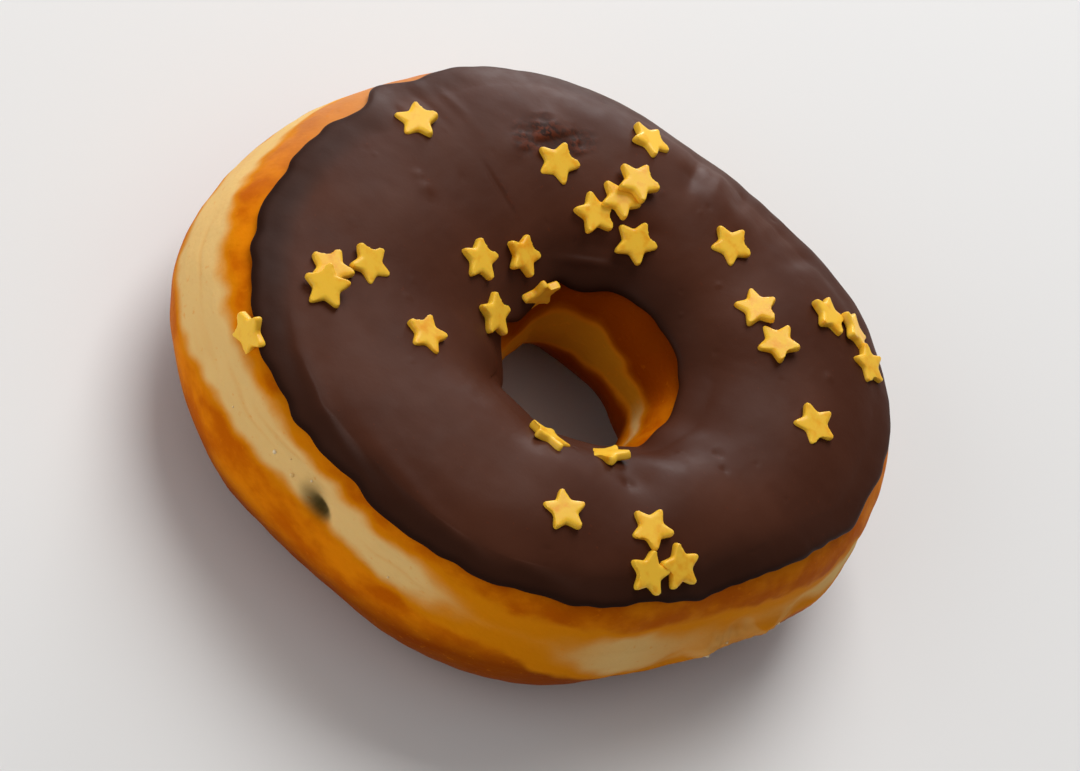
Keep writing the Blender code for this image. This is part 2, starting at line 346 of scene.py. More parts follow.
# Mottling of each finish: (size of its soft spots, size of its grain, stretch upwards).
CRUST_MOTTLE = (140.0, 1100.0, 1.6)
ICING_MOTTLE = (60.0, 1500.0, 1.0)
ICING_SKIN = (260.0, 800.0, 1.0)
STAR_MOTTLE = (700.0, 3500.0, 1.0)
CRUMB_MOTTLE = (900.0, 4000.0, 1.0)

# Fine relief of each finish: (strength, height).
CRUST_BUMP = (0.5, 0.12 * MM)
ICING_BUMP = (0.45, 0.07 * MM)
STAR_BUMP = (0.25, 0.04 * MM)
CRUMB_BUMP = (0.4, 0.05 * MM)

# How the rings are divided: each face of the torus is cut in four, closer together where more shows.
# Then the steps that find a slope, and those that find the outer wall and a crumb's place on it.
STEPS_ROUND = 240
STEPS_ACROSS = 102
CLOSER_ROUND = 0.3
CLOSER_ACROSS = 0.4
CLOSER_ACROSS_AT = 10.0
ICING_TOP_SHARE = 0.75
SLOPE_STEP = 0.004
OUTER_WALL = 0.7
OUTER_WALL_STEPS = 41
CRUMB_TRIES = 200


def srgb(red, green, blue):
    """A linear colour from the 0 to 255 values that a picture shows."""
    parts = [value / 255.0 for value in (red, green, blue)]
    return tuple(part / 12.92 if part <= 0.04045 else ((part + 0.055) / 1.055) ** 2.4 for part in parts)


class DoughnutSizes(bpy.types.PropertyGroup):
    """The sizes that a baker would change."""

    outer_radius: bpy.props.FloatProperty(
        name="Outer Radius", description="Mean radius of the ring", default=46.6 * MM, unit="LENGTH"
    )
    hole_radius: bpy.props.FloatProperty(
        name="Hole Radius", description="Mean radius of the hole", default=10.4 * MM, unit="LENGTH"
    )
    crest_height: bpy.props.FloatProperty(
        name="Dough Height", description="Height of the dough's crest", default=28.6 * MM, unit="LENGTH"
    )
    icing_thickness: bpy.props.FloatProperty(
        name="Icing Thickness", description="Thickness of the icing", default=1.2 * MM, unit="LENGTH"
    )
    star_radius: bpy.props.FloatProperty(
        name="Star Radius", description="Middle of a star to a tip", default=3.0 * MM, unit="LENGTH"
    )
    star_rise: bpy.props.FloatProperty(
        name="Star Rise", description="How far a star stands off the icing", default=0.85 * MM, unit="LENGTH"
    )


class DoughnutColours(bpy.types.PropertyGroup):
    """The colours that a baker would change."""

    crust: bpy.props.FloatVectorProperty(
        name="Crust", description="Fried crust",
        default=srgb(227, 130, 8), subtype="COLOR", min=0, max=1,
    )
    crust_dark: bpy.props.FloatVectorProperty(
        name="Dark Crust", description="Deeper fried crust",
        default=srgb(194, 94, 2), subtype="COLOR", min=0, max=1,
    )
    # A painted sheen on the crust above the belt.
    crust_sheen: bpy.props.FloatVectorProperty(
        name="Hazy Crust", description="Fried crust under the haze of fat",
        default=srgb(206, 140, 88), subtype="COLOR", min=0, max=1,
    )
    # Also paints the shade in the hole.
    crust_deepest_and_shade: bpy.props.FloatVectorProperty(
        name="Deepest Crust", description="Crust fried deepest",
        default=srgb(126, 50, 1), subtype="COLOR", min=0, max=1,
    )
    belt: bpy.props.FloatVectorProperty(
        name="Belt", description="Pale belt",
        default=srgb(232, 191, 122), subtype="COLOR", min=0, max=1,
    )
    belt_amber: bpy.props.FloatVectorProperty(
        name="Belt Edge", description="Amber edge of the belt",
        default=srgb(220, 132, 10), subtype="COLOR", min=0, max=1,
    )
    # Painted shade: the belt's colour in the hole.
    belt_shade_in_hole: bpy.props.FloatVectorProperty(
        name="Belt In Hole", description="Olive brown belt in the hole",
        default=srgb(192, 128, 24), subtype="COLOR", min=0, max=1,
    )
    pit: bpy.props.FloatVectorProperty(
        name="Pit", description="Dark pit in the belt",
        default=srgb(50, 42, 14), subtype="COLOR", min=0, max=1,
    )
    crumb: bpy.props.FloatVectorProperty(
        name="Crumb", description="Loose crumbs",
        default=srgb(240, 224, 190), subtype="COLOR", min=0, max=1,
    )
    icing: bpy.props.FloatVectorProperty(
        name="Icing", description="Dark icing",
        default=srgb(72, 38, 25), subtype="COLOR", min=0, max=1,
    )
    icing_bloom: bpy.props.FloatVectorProperty(
        name="Icing Bloom", description="Greyer icing",
        default=srgb(81, 45, 31), subtype="COLOR", min=0, max=1,
    )
    # Also paints the shade in the patch's hollows, at the icing's rim and on its sides.
    icing_patch_and_shade: bpy.props.FloatVectorProperty(
        name="Cracked Icing", description="Bottoms of the icing's cracks",
        default=srgb(30, 13, 6), subtype="COLOR", min=0, max=1,
    )
    icing_thin: bpy.props.FloatVectorProperty(
        name="Thin Icing", description="Icing where crust shows through",
        default=srgb(104, 46, 22), subtype="COLOR", min=0, max=1,
    )
    star: bpy.props.FloatVectorProperty(
        name="Star", description="Star sprinkles",
        default=srgb(255, 199, 54), subtype="COLOR", min=0, max=1,
    )
    star_deep: bpy.props.FloatVectorProperty(
        name="Deep Star", description="Stars' sides and hollows",
        default=srgb(244, 165, 18), subtype="COLOR", min=0, max=1,
    )


class DoughnutStage(bpy.types.PropertyGroup):
    """The camera, light and floor."""

    distance: bpy.props.FloatProperty(
        name="Distance", description="Camera to the ring's middle", default=0.74, unit="LENGTH"
    )
    elevation: bpy.props.FloatProperty(
        name="Elevation", description="How steeply the camera looks down",
        default=math.radians(47.3), subtype="ANGLE",
    )
    roll: bpy.props.FloatProperty(
        name="Roll", description="How far the camera is rolled", default=math.radians(-37.4), subtype="ANGLE"
    )
    lens: bpy.props.FloatProperty(name="Lens", description="Focal length in millimetres", default=190.0)
    key_power: bpy.props.FloatProperty(name="Key", description="Key light", default=8.6, unit="POWER")
    fill_power: bpy.props.FloatProperty(name="Fill", description="Fill light", default=5.4, unit="POWER")
    back_power: bpy.props.FloatProperty(name="Back", description="Back light", default=5.5, unit="POWER")
    floor: bpy.props.FloatVectorProperty(
        name="Floor", description="Pale floor",
        default=(0.82, 0.82, 0.82), subtype="COLOR", min=0, max=1,
    )


def sizes():
    """The sizes in use."""
    return bpy.context.scene.doughnut_sizes


def colours():
    """The colours in use."""
    return bpy.context.scene.doughnut_colours


def section_half_width():
    """Half the width of the ring's section."""
    return (sizes().outer_radius - sizes().hole_radius) / 2


def waves(around, rows):
    """Height in metres of rows of waves in these directions."""
    return sum(high * MM * np.cos(count * (around - math.radians(crest))) for count, high, crest in rows)


def ease(value):
    """A smooth step from 0 to 1 as the value goes from 0 to 1."""
    part = np.clip(value, 0.0, 1.0)
    return part * part * (3.0 - 2.0 * part)


def turned_from(around, centre):
    """The angle in degrees from the centre direction, -180 to 180."""
    return (np.degrees(around) - centre + 180.0) % 360.0 - 180.0


def nearness(around, centre, spread):
    """1 in the centre direction, easing to 0 at the spread on both sides."""
    return 1.0 - ease(np.abs(turned_from(around, centre)) / spread)


def shares(around, rows):
    """The sum of rows of (direction, spread, share) in these directions."""
    return sum(part * nearness(around, centre, spread) for centre, spread, part in rows)


def steps(around, rows):
    """Height in metres of rows of local steps in these directions."""
    return MM * shares(around, rows)


def bump(distance, width):
    """A round bump, 1 in the middle and almost 0 one width away."""
    return np.exp(-2.0 * (distance / width) ** 2)


def swells(around, reach, rows):
    """Height of the rises and hollows here, seen from above."""
    total = np.zeros_like(reach)
    for direction, middle, width, high in rows:
        turned = around - math.radians(direction)
        apart = reach**2 + (middle * MM) ** 2 - 2 * reach * middle * MM * np.cos(turned)
        total += high * MM * bump(np.sqrt(np.maximum(apart, 0.0)), width * MM)
    return total


def crags(around, height, outer):
    """Height of the torn edge's crags here on the outer side."""
    total = np.zeros_like(height)
    for direction, middle, width, high in CRAGS:
        turned = np.radians(turned_from(around, direction))
        total += high * MM * bump(np.hypot(turned * outer, height - middle * MM), width * MM)
    return total


def edge_ripple(around, in_hole):
    """The uneven run of an edge round the ring, from about -1 to 1."""
    draw = np.random.default_rng(EDGE_SEED + in_hole)
    total = np.zeros_like(around)
    fewest = EDGE_TIMES[in_hole][0]
    for count in EDGE_TIMES[in_hole]:
        total += np.cos(count * around + draw.uniform(0, math.tau)) * math.sqrt(fewest / count)
    return total / 2


def grain(place, seed, count, lengths, stretch=(1, 1, 1)):
    """An uneven pattern from about -1 to 1: waves with random headings and lengths."""
    draw = np.random.default_rng(seed)
    total = np.zeros(place.shape[:-1])
    for _ in range(count):
        heading = draw.normal(size=3)
        heading /= np.linalg.norm(heading)
        turns = heading / np.array(stretch) * math.tau / draw.uniform(*lengths)
        total += np.cos(place @ turns + draw.uniform(0, math.tau))
    return total / math.sqrt(count)


def wrinkles(place, seed, count, lengths):
    """Sharp-crested wrinkles, from 0 to 1."""
    return 1.0 - np.minimum(np.abs(grain(place, seed, count, lengths)), 1.0)


def fullness(around, outside, above):
    """How full the section is in the quarter that each point lies in."""
    shoulder = FULL_OUTER_TOP + SHOULDER_FULLER * nearness(around, SHOULDER_AT, SHOULDER_SPREAD)
    in_hole = np.where(above > 0, FULL_HOLE_TOP, FULL_HOLE_BASE)
    return np.where(outside < 0, in_hole, np.where(above < 0, FULL_OUTER_BASE, shoulder))


def swelled(value, full):
    """A cosine or sine pushed out towards a squarer or a slimmer section."""
    return np.copysign(np.abs(value) ** (2.0 / full), value)


def edge_across(around, in_hole, fine):
    """The angle across the section where the icing ends, outside or in the hole."""
    if in_hole:
        height = HOLE_EDGE_HEIGHT + waves(around, HOLE_EDGE_WAVES) + steps(around, HOLE_EDGE_STEPS)
        full = FULL_HOLE_TOP
    else:
        height = OUTER_EDGE_HEIGHT + waves(around, OUTER_EDGE_WAVES) + steps(around, OUTER_EDGE_STEPS)
        full = fullness(around, np.ones_like(around), np.ones_like(around))
    if fine:
        height = height + EDGE_RIPPLE * edge_ripple(around, in_hole)
    share = (height - WIDEST_HEIGHT) / (sizes().crest_height + waves(around, CREST_WAVES) - WIDEST_HEIGHT)
    rise = np.arcsin(np.clip(share, 0, 1) ** (full / 2.0))
    return math.pi - rise if in_hole else rise


def under_icing(around, across):
    """1 where the icing lies on the dough, easing to 0 at its two edges."""
    inside = np.minimum(across - edge_across(around, False, False), edge_across(around, True, False) - across)
    return ease(inside * section_half_width() / LIP_RUN)


def inside_belt(around, height, outside, place):
    """How far inside the pale belt's nearer edge a point is, in mm: below zero it lies on the crust."""
    top = np.where(outside > 0, BELT_TOP + waves(around, BELT_TOP_WAVES), BELT_TOP_IN_HOLE)
    foot = BELT_FOOT + waves(around, BELT_FOOT_WAVES) + steps(around, BELT_DIPS)
    foot_in_hole = BELT_FOOT_IN_HOLE + waves(around, BELT_FOOT_WAVES_IN_HOLE)
    foot_in_hole = foot_in_hole + steps(around, BELT_DIPS_IN_HOLE)
    foot = np.where(outside > 0, foot, foot_in_hole)
    wobble = BELT_WOBBLE * grain(place, 11, 24, WOBBLE_LENGTHS)
    return np.minimum(top - height + wobble, height - foot - wobble) / MM


def oval(around, height, outer, at, middle, long_half, short_half):
    """1 in the middle of a slanted oval mark on the outer wall, easing to 0 at its edge."""
    along = np.radians(turned_from(around, at)) * outer
    up = height - middle
    tilt = math.radians(PIT_SLOPE)
    long_way = (along * math.cos(tilt) - up * math.sin(tilt)) / long_half
    short_way = (along * math.sin(tilt) + up * math.cos(tilt)) / short_half
    return 1.0 - ease((np.hypot(long_way, short_way) - 0.2) / 1.1)


def belt_creases(around, height, place):
    """1 in the bottom of a fine crease that runs along the belt."""
    total = np.zeros_like(height)
    drift = BELT_CREASE_DRIFT * grain(place, 23, 12, (6 * MM, 20 * MM))
    for direction, spread, middle in BELT_CREASES:
        total += bump(height - middle * MM + drift, BELT_CREASE_WIDTH) * nearness(around, direction, spread)
    return np.clip(total, 0, 1)


def torn_closeness(around, height, place):
    """1 on the torn edge and 0 away from it."""
    beside = nearness(around, TORN_AT, TORN_SPREAD)
    ragged = TORN_RAGGED * grain(place, 19, 12, (3 * MM, 9 * MM))
    return beside * (1.0 - ease(np.abs(height - TORN_HEIGHT + ragged) / TORN_HALF_HEIGHT))


def darkening_and_hole_shade(around, height, outside):
    """How much darker the crust is, with painted shade in the hole, and how much painted shade the wall of
    the hole gets.
    """
    below = np.where(
        outside > 0,
        DEEPER_BELOW + steps(around, DEEPER_STEPS),
        HOLE_SHADE_BELOW + steps(around, HOLE_SHADE_STEPS),
    )
    low = ease((below - height) / DEEPER_FADE)
    # Painted shade in the hole.
    in_hole = ease(-3 * outside) * np.clip(shares(around, HOLE_SHADE) + low, 0, 1)
    darker_and_hole_shade = np.where(outside > 0, shares(around, DEEPER), 0.2 + 0.9 * in_hole)
    return np.clip(darker_and_hole_shade + low, 0, 1), in_hole


def dough_finish(around, height, outer, outside, place):
    """What the dough's material needs to know on each point."""
    on_outside = outside > 0
    darker_and_hole_shade, in_hole = darkening_and_hole_shade(around, height, outside)
    above_belt = on_outside * (height > WIDEST_HEIGHT)
    return {
        "belt": inside_belt(around, height, outside, place),
        "pit": oval(around, height, outer, PIT_AT, PIT_HEIGHT, PIT_LONG, PIT_SHORT) * on_outside,
        "stain": oval(around, height, outer, STAIN_AT, STAIN_HEIGHT, STAIN_LONG, STAIN_SHORT) * on_outside,
        "torn": torn_closeness(around, height, place) * on_outside,
        "crease": belt_creases(around, height, place) * on_outside,
        "amber": np.clip(shares(around, AMBER), 0, 1),
        # Painted shade in the hole; the crust darker outside, with painted shade in the hole.
        "hole": in_hole,
        "darker_and_hole_shade": darker_and_hole_shade,
        # Painted sheen above the belt.
        "painted_sheen": ease(2 * outside) * above_belt * shares(around, SHEEN_ABOVE_BELT),
    }


def dough_surface(around, across, fine):
    """Points on the dough about the middle of the hole, and what its finish needs to know there."""
    outer = sizes().outer_radius + waves(around, OUTER_WAVES)
    hole = sizes().hole_radius + waves(around, HOLE_WAVES)
    crest = sizes().crest_height + waves(around, CREST_WAVES)
    outside = np.cos(across)
    above = np.sin(across)
    full = fullness(around, outside, above)
    rise = np.where(above > 0, crest - WIDEST_HEIGHT, WIDEST_HEIGHT + BASE_SETTLED)
    reach = (outer + hole) / 2 + (outer - hole) / 2 * swelled(outside, full)
    height = WIDEST_HEIGHT + rise * swelled(above, full)

    waist = np.where(outside > 0, WAIST_OUTSIDE, WAIST_IN_HOLE)
    off_waist = height - WAIST_HEIGHT - waves(around, WAIST_WAVES)
    relief = -waist * bump(off_waist, WAIST_WIDTH)
    for times_round, times_across, high, phase in LUMPS:
        start = math.radians(phase)
        lump = high * MM * np.cos(times_round * around - start)
        relief = relief + lump * np.cos(times_across * across + start)
    relief = relief + swells(around, reach, TOP_SWELLS) * ease(2 * above) * (above > 0)
    relief = relief + crags(around, height, outer) * ease(2 * outside) * (outside > 0)
    covered = under_icing(around, across)
    relief = relief - DOUGH_UNDER_ICING * covered

    finish = {}
    if fine:
        place = np.stack((reach * np.cos(around), reach * np.sin(around), height), -1)
        finish = dough_finish(around, height, outer, outside, place)
        bare = 1.0 - covered
        in_belt = ease(finish["belt"] / 1.5)
        flat_creases = grain(place, 5, 30, BELT_LENGTHS, BELT_STRETCH)
        crumb = wrinkles(place, 7, 16, (1.2 * MM, 3 * MM))
        relief = relief + bare * CRUST_RELIEF * grain(place, 3, 30, CRUST_LENGTHS)
        relief = relief - bare * in_belt * (BELT_SUNK + CREASE_DEPTH * flat_creases)
        relief = relief - BELT_CREASE_DEPTH * finish["crease"]
        relief = relief - PIT_DEPTH * finish["pit"]
        relief = relief + finish["torn"] * (TORN_RISE * crumb - TORN_SUNK)
        finish["crease"] = np.maximum(0.5 * ease(flat_creases - 0.4) * in_belt, finish["crease"])

    reach = reach + relief * outside
    height = np.maximum(height + relief * above, 0.0)
    place = np.stack((reach * np.cos(around), reach * np.sin(around), height), -1)
    return place, finish


def unit(vectors):
    """Vectors made one long."""
    return vectors / np.maximum(np.linalg.norm(vectors, axis=-1, keepdims=True), 1e-12)


def outward(around, across):
    """The direction straight out of the smooth dough."""
    behind, ahead, outer, inner = (
        dough_surface(around + SLOPE_STEP * rounds, across + SLOPE_STEP * ways, False)[0]
        for rounds, ways in ((-1, 0), (1, 0), (0, -1), (0, 1))
    )
    return unit(np.cross(ahead - behind, inner - outer))


def patch_closeness(around, reach, place):
    """1 in the middle of the wrinkled patch and 0 outside its ragged edge."""
    along = np.radians(turned_from(around, PATCH_AT)) * reach
    over = reach - PATCH_REACH
    ragged = 0.22 * grain(place, 47, 16, (3 * MM, 8 * MM))
    return 1.0 - ease((np.hypot(along / PATCH_LONG, over / PATCH_SHORT) - 0.35 + ragged) / 0.8)


def folds(around, reach):
    """Height of the long folds in the icing."""
    total = np.zeros_like(reach)
    for direction, start, end, width, high in FOLDS_OUT:
        beside = np.radians(turned_from(around, direction)) * reach
        middle = (start + end) / 2 * MM
        along = np.abs(reach - middle) / ((end - start) / 2 * MM)
        total += high * MM * bump(beside, width * MM) * (1.0 - ease(along))
    for direction, spread, middle, width, high in FOLDS_ROUND:
        total += high * MM * bump(reach - middle * MM, width * MM) * nearness(around, direction, spread)
    return total


def icing_relief(around, place):
    """Height of the icing's own marks, folds and wrinkles, where it is thin, and how much painted shade the
    patch's hollows get.
    """
    reach = np.hypot(place[..., 0], place[..., 1])
    patch = patch_closeness(around, reach, place)
    lumps = ease(0.5 + 0.6 * grain(place, 49, 24, PATCH_LUMPS))
    height = swells(around, reach, ICING_MARKS) + folds(around, reach) + pinholes(around, reach)
    height += ICING_SWELL * grain(place, 43, 24, ICING_SWELL_LENGTHS)
    height += ICING_GRAIN * grain(place, 45, 40, ICING_GRAIN_LENGTHS)
    height += patch * PATCH_CRINKLE * (lumps - 0.7)
    beside = np.radians(turned_from(around, SCRATCH_AT)) * reach
    scratch = bump(beside, SCRATCH_WIDTH) * (1.0 - ease(np.abs(reach - SCRATCH_REACH) / SCRATCH_HALF_LENGTH))
    thin = np.clip(patch * (0.4 + 0.6 * lumps) + 0.3 * scratch, 0, 1)
    # The last value is painted shade in the patch's hollows.
    return height, thin, 0.5 * patch * (1.0 - lumps)


def pinholes(around, reach):
    """Tiny pits and pimples scattered over the icing."""
    draw = np.random.default_rng(51)
    total = np.zeros_like(reach)
    for _ in range(PINHOLES):
        direction = draw.uniform(0, math.tau)
        middle = math.sqrt(draw.uniform(0.10, 1.0)) * PINHOLE_REACH
        width = draw.uniform(*PINHOLE_WIDTHS) * MM
        high = draw.uniform(*PINHOLE_HEIGHTS) * MM * (-1 if draw.random() < PINHOLE_PIT_SHARE else 1)
        turned = around - direction
        apart = reach**2 + middle**2 - 2 * reach * middle * np.cos(turned)
        total += high * bump(np.sqrt(np.maximum(apart, 0.0)), width)
    return total


def icing_surface(around, across, on_top, fine):
    """Points on the icing, or just off the dough under it, how thin it is there, and how much painted shade
    it gets in the patch's hollows, at its rim and on its sides.
    """
    start = edge_across(around, False, fine)
    end = edge_across(around, True, fine)
    edge_distance = np.maximum(np.minimum(across - start, end - across) * section_half_width(), 0.0)
    lip = np.sqrt(1.0 - (1.0 - np.minimum(edge_distance / LIP_ROUND, 1.0)) ** 2)
    thickness = sizes().icing_thickness
    lift = GAP + (1.0 - lip) * LIP_SHARE * thickness / 2
    place = dough_surface(around, across, False)[0]
    thin = hollow_shade = np.zeros_like(across)
    if on_top:
        lift = lift + thickness * (LIP_SHARE * lip + (1.0 - LIP_SHARE) * ease(edge_distance / LIP_RUN))
        if fine:
            marks, thin, hollow_shade = icing_relief(around, place)
            lift = lift + lip * marks
    # Painted shade: darker at the rim, on the outer side, most towards one direction, and on the hole's
    # shaded side.
    rim = 1.0 - ease(edge_distance / RIM_WIDTH)
    side_in_hole = 1.0 - ease(edge_distance / SIDE_WIDTH_IN_HOLE)
    side_in_hole = side_in_hole * nearness(around, SHADED_AT, SHADED_SPREAD)
    side_run = SIDE_WIDTH - SIDE_FLAT + steps(around, SIDE_WIDER)
    side = 1.0 - ease((edge_distance - SIDE_FLAT) / side_run)
    side = side * np.clip(SIDE_GAIN * nearness(around, SIDE_AT, SIDE_SPREAD), SIDE_LEAST, 1.0)
    side = np.where(across < math.pi / 2, side, side_in_hole)
    dark = (1.0 - RIM_SHARE) * side + RIM_SHARE * rim
    return place + outward(around, across) * lift[..., None], thin, hollow_shade, dark


def icing_across(around, share):
    """The way across the section, close together at both edges: share is 0 outside and 1 in the hole."""
    start = edge_across(around, False, True)
    end = edge_across(around, True, True)
    return start + (end - start) * (1.0 - np.cos(math.pi * share)) / 2


def frame_shift():
    """From the middle of the hole to the frame's origin: the dough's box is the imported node's box."""
    low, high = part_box("dough")
    around = np.linspace(0, math.tau, 2 * STEPS_ROUND, endpoint=False)
    across = np.linspace(-OUTER_WALL, OUTER_WALL, OUTER_WALL_STEPS)
    points = dough_surface(*np.meshgrid(around, across, indexing="ij"), False)[0].reshape(-1, 3)
    middle = (points.min(0) + points.max(0)) / 2
    return np.array(((low[0] + high[0]) / 2 - middle[0], (low[1] + high[1]) / 2 - middle[1], low[2]))


def deselect_all():
    """Leaves nothing selected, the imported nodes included."""
    if bpy.context.object and bpy.context.object.mode != "OBJECT":
        bpy.ops.object.mode_set(mode="OBJECT")
    bpy.ops.object.select_all(action="DESELECT")


def new_ring(name, closer_at):
    """A finely divided torus to be shaped, and where each point lies round it (closer in one direction)
    and across it."""
    deselect_all()
    middle = (sizes().outer_radius + sizes().hole_radius) / 2
    bpy.ops.mesh.primitive_torus_add(
        major_segments=STEPS_ROUND,
        minor_segments=STEPS_ACROSS,
        major_radius=middle,
        minor_radius=section_half_width(),
    )
    ring = bpy.context.object
    ring.name = name
    ring.data.name = name
    bpy.ops.object.mode_set(mode="EDIT")
    bpy.ops.mesh.subdivide(number_cuts=1)
    bpy.ops.object.mode_set(mode="OBJECT")
    places = np.empty(3 * len(ring.data.vertices), np.float32)
    ring.data.vertices.foreach_get("co", places)
    x, y, z = places.reshape(-1, 3).astype(float).T
    around = np.arctan2(y, x)
    across = np.arctan2(z, np.hypot(x, y) - middle) % math.tau
    return ring, around - CLOSER_ROUND * np.sin(around - math.radians(closer_at)), across


def set_points(piece, places):
    """Moves every point of a piece to its place in the frame."""
    shifted = np.ascontiguousarray(places + frame_shift(), np.float32)
    piece.data.vertices.foreach_set("co", shifted.ravel())
    piece.data.update()


def set_attribute(piece, name, values):
    """Keeps one number a point for the piece's finish."""
    layer = piece.data.attributes.new(name, "FLOAT", "POINT")
    layer.data.foreach_set("value", np.ascontiguousarray(values, np.float32))


def finish_piece(piece, slot, *nodes):
    """Shades a piece smooth, hides the imported nodes that it stands for and puts it on the body; the slot is
    not used.
    """
    piece.data.shade_smooth()
    if nodes:
        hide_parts(*nodes)
    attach(piece, "root")


def join_pieces(pieces, name):
    """Joins pieces into one with this name."""
    deselect_all()
    for piece in pieces:
        piece.select_set(True)
    bpy.context.view_layer.objects.active = pieces[0]
    bpy.ops.object.join()
    bpy.context.object.name = name
    return bpy.context.object


def make_dough():
    """The fried ring with its belt, torn edge and pit."""
    ring, around, across = new_ring("fried_dough", TORN_AT)
    across = across - CLOSER_ACROSS * np.sin(across - math.radians(CLOSER_ACROSS_AT))
    places, finish = dough_surface(around, across, True)
    set_points(ring, places)
    for name, values in finish.items():
        set_attribute(ring, name, values)
    ring.data.materials.append(dough_material())
    finish_piece(ring, "fried_dough", "dough")
    return ring


def make_icing():
    """The skin of icing with its folds, wrinkles and uneven lip."""
    ring, around, across = new_ring("chocolate_icing", PATCH_AT)
    turn = across / math.tau
    on_top = turn <= ICING_TOP_SHARE
    over = np.clip(turn / ICING_TOP_SHARE, 0, 1)
    back = np.clip((turn - ICING_TOP_SHARE) / (1 - ICING_TOP_SHARE), 0, 1)
    across = icing_across(around, np.where(on_top, over, 1 - back))
    top, thin, hollow_shade, dark = icing_surface(around, across, True, True)
    bottom = icing_surface(around, across, False, True)[0]
    set_points(ring, np.where(on_top[:, None], top, bottom))
    set_attribute(ring, "thin", np.where(on_top, thin, 0.0))
    set_attribute(ring, "hollow_shade", np.where(on_top, hollow_shade, 0.0))
    set_attribute(ring, "dark", dark)
    ring.data.materials.append(icing_material())
    finish_piece(ring, "chocolate_icing", "icing")
    return ring


def star_frame(direction, across, lean_along, lean_in, level, shift):
    """Where a star lies on the icing: its place and the turn of its axes."""
    rounds = math.radians(direction) + np.array((0.0, 1.0, -1.0, 0.0, 0.0)) * STAR_REST
    ways = math.radians(across) + np.array((0.0, 0.0, 0.0, 1.0, -1.0)) * STAR_REST
    points = icing_surface(rounds, ways, True, False)[0]
    normal = Vector(unit(np.cross(points[1] - points[2], points[3] - points[4])))
    along = Vector(points[1] - points[2]).normalized()
    inwards = normal.cross(along)
    leant = normal + along * math.tan(math.radians(lean_along)) + inwards * math.tan(math.radians(lean_in))
    leant.normalize()
    along = (along - leant * along.dot(leant)).normalized()
    turned = Matrix((along, leant.cross(along), leant)).transposed().to_4x4()
    turned.translation = Vector(points[0] + shift) + normal * (STAR_STACK * level - STAR_SUNK)
    return turned


def select_by_distance(shape, low, high):
    """Selects the points that lie between two distances from the middle, seen from above."""
    for vertex in shape.verts:
        vertex.select_set(low <= vertex.co.xy.length <= high)
    shape.select_flush_mode()


def model_star():
    """One star with round tips and a pillowed top, modelled flat on the origin with a tip along +X."""
    sharp = STAR_SHARPER * sizes().star_radius
    deselect_all()
    bpy.ops.mesh.primitive_circle_add(vertices=2 * STAR_POINTS, radius=sharp, fill_type="NGON")
    star = bpy.context.object
    bpy.ops.object.mode_set(mode="EDIT")
    bpy.ops.mesh.select_mode(type="VERT")
    bpy.ops.transform.rotate(value=math.pi / 2, orient_axis="Z", center_override=(0, 0, 0))
    shape = bmesh.from_edit_mesh(star.data)
    for vertex in shape.verts:
        corner = round(math.atan2(vertex.co.y, vertex.co.x) / (math.pi / STAR_POINTS))
        vertex.select_set(corner % 2 == 1)
    shape.select_flush_mode()
    bmesh.update_edit_mesh(star.data)
    bpy.ops.transform.resize(value=(STAR_WAIST, STAR_WAIST, 1), center_override=(0, 0, 0))
    shape = bmesh.from_edit_mesh(star.data)
    select_by_distance(shape, 0.8 * sharp, 2 * sharp)
    bmesh.update_edit_mesh(star.data)
    bpy.ops.mesh.bevel(offset=STAR_TIP_ROUND, segments=4, affect="VERTICES")
    bpy.ops.mesh.select_all(action="SELECT")
    bpy.ops.mesh.extrude_region_move(TRANSFORM_OT_translate={"value": (0, 0, STAR_SUNK + sizes().star_rise)})
    for narrower, higher in STAR_PILLOW:
        bpy.ops.mesh.inset(thickness=narrower, depth=higher)
    bpy.ops.mesh.select_all(action="SELECT")
    bpy.ops.mesh.normals_make_consistent(inside=False)
    bpy.ops.object.mode_set(mode="OBJECT")
    return star


def soften_star(star):
    """Rounds the star like pressed sugar, then brings it back to its size."""
    bevel = star.modifiers.new("soft", "BEVEL")
    bevel.width = STAR_RIM_ROUND
    bevel.segments = 3
    bevel.limit_method = "ANGLE"
    bevel.angle_limit = math.radians(50)
    bpy.ops.object.modifier_apply(modifier=bevel.name)
    remesh = star.modifiers.new("even", "REMESH")
    remesh.mode = "VOXEL"
    remesh.voxel_size = STAR_GRID
    bpy.ops.object.modifier_apply(modifier=remesh.name)
    smooth = star.modifiers.new("smooth", "SMOOTH")
    smooth.factor = 0.5
    smooth.iterations = STAR_SMOOTHINGS
    bpy.ops.object.modifier_apply(modifier=smooth.name)
    widest = max(vertex.co.xy.length for vertex in star.data.vertices)
    low = min(vertex.co.z for vertex in star.data.vertices)
    high = max(vertex.co.z for vertex in star.data.vertices)
    wide = sizes().star_radius / widest
    tall = (STAR_SUNK + sizes().star_rise) / (high - low)
    star.data.transform(Matrix.Diagonal((wide, wide, tall, 1)) @ Matrix.Translation((0, 0, -low)))


def make_stars():
    """Every star sprinkle: one is modelled, then copied into place and joined."""
    pattern = model_star()
    soften_star(pattern)
    shift = frame_shift()
    draw = np.random.default_rng(61)
    copies = []
    for direction, across, turn, level, lean_along, lean_in in STARS:
        copy = pattern.copy()
        copy.data = pattern.data.copy()
        bpy.context.collection.objects.link(copy)
        size = draw.uniform(0.98, 1.03)
        place = star_frame(direction, across, lean_along, lean_in, level, shift)
        turned = Matrix.Rotation(math.radians(turn), 4, "Z")
        copy.data.transform(place @ turned @ Matrix.Diagonal((size, size, 1, 1)))
        set_attribute(copy, "shade", np.full(len(copy.data.vertices), draw.uniform(0, 1)))
        copies.append(copy)
    bpy.data.objects.remove(pattern, do_unlink=True)
    stars = join_pieces(copies, "star_sprinkles")
    stars.data.materials.append(star_material())
    finish_piece(stars, "star_sprinkles")
    return stars


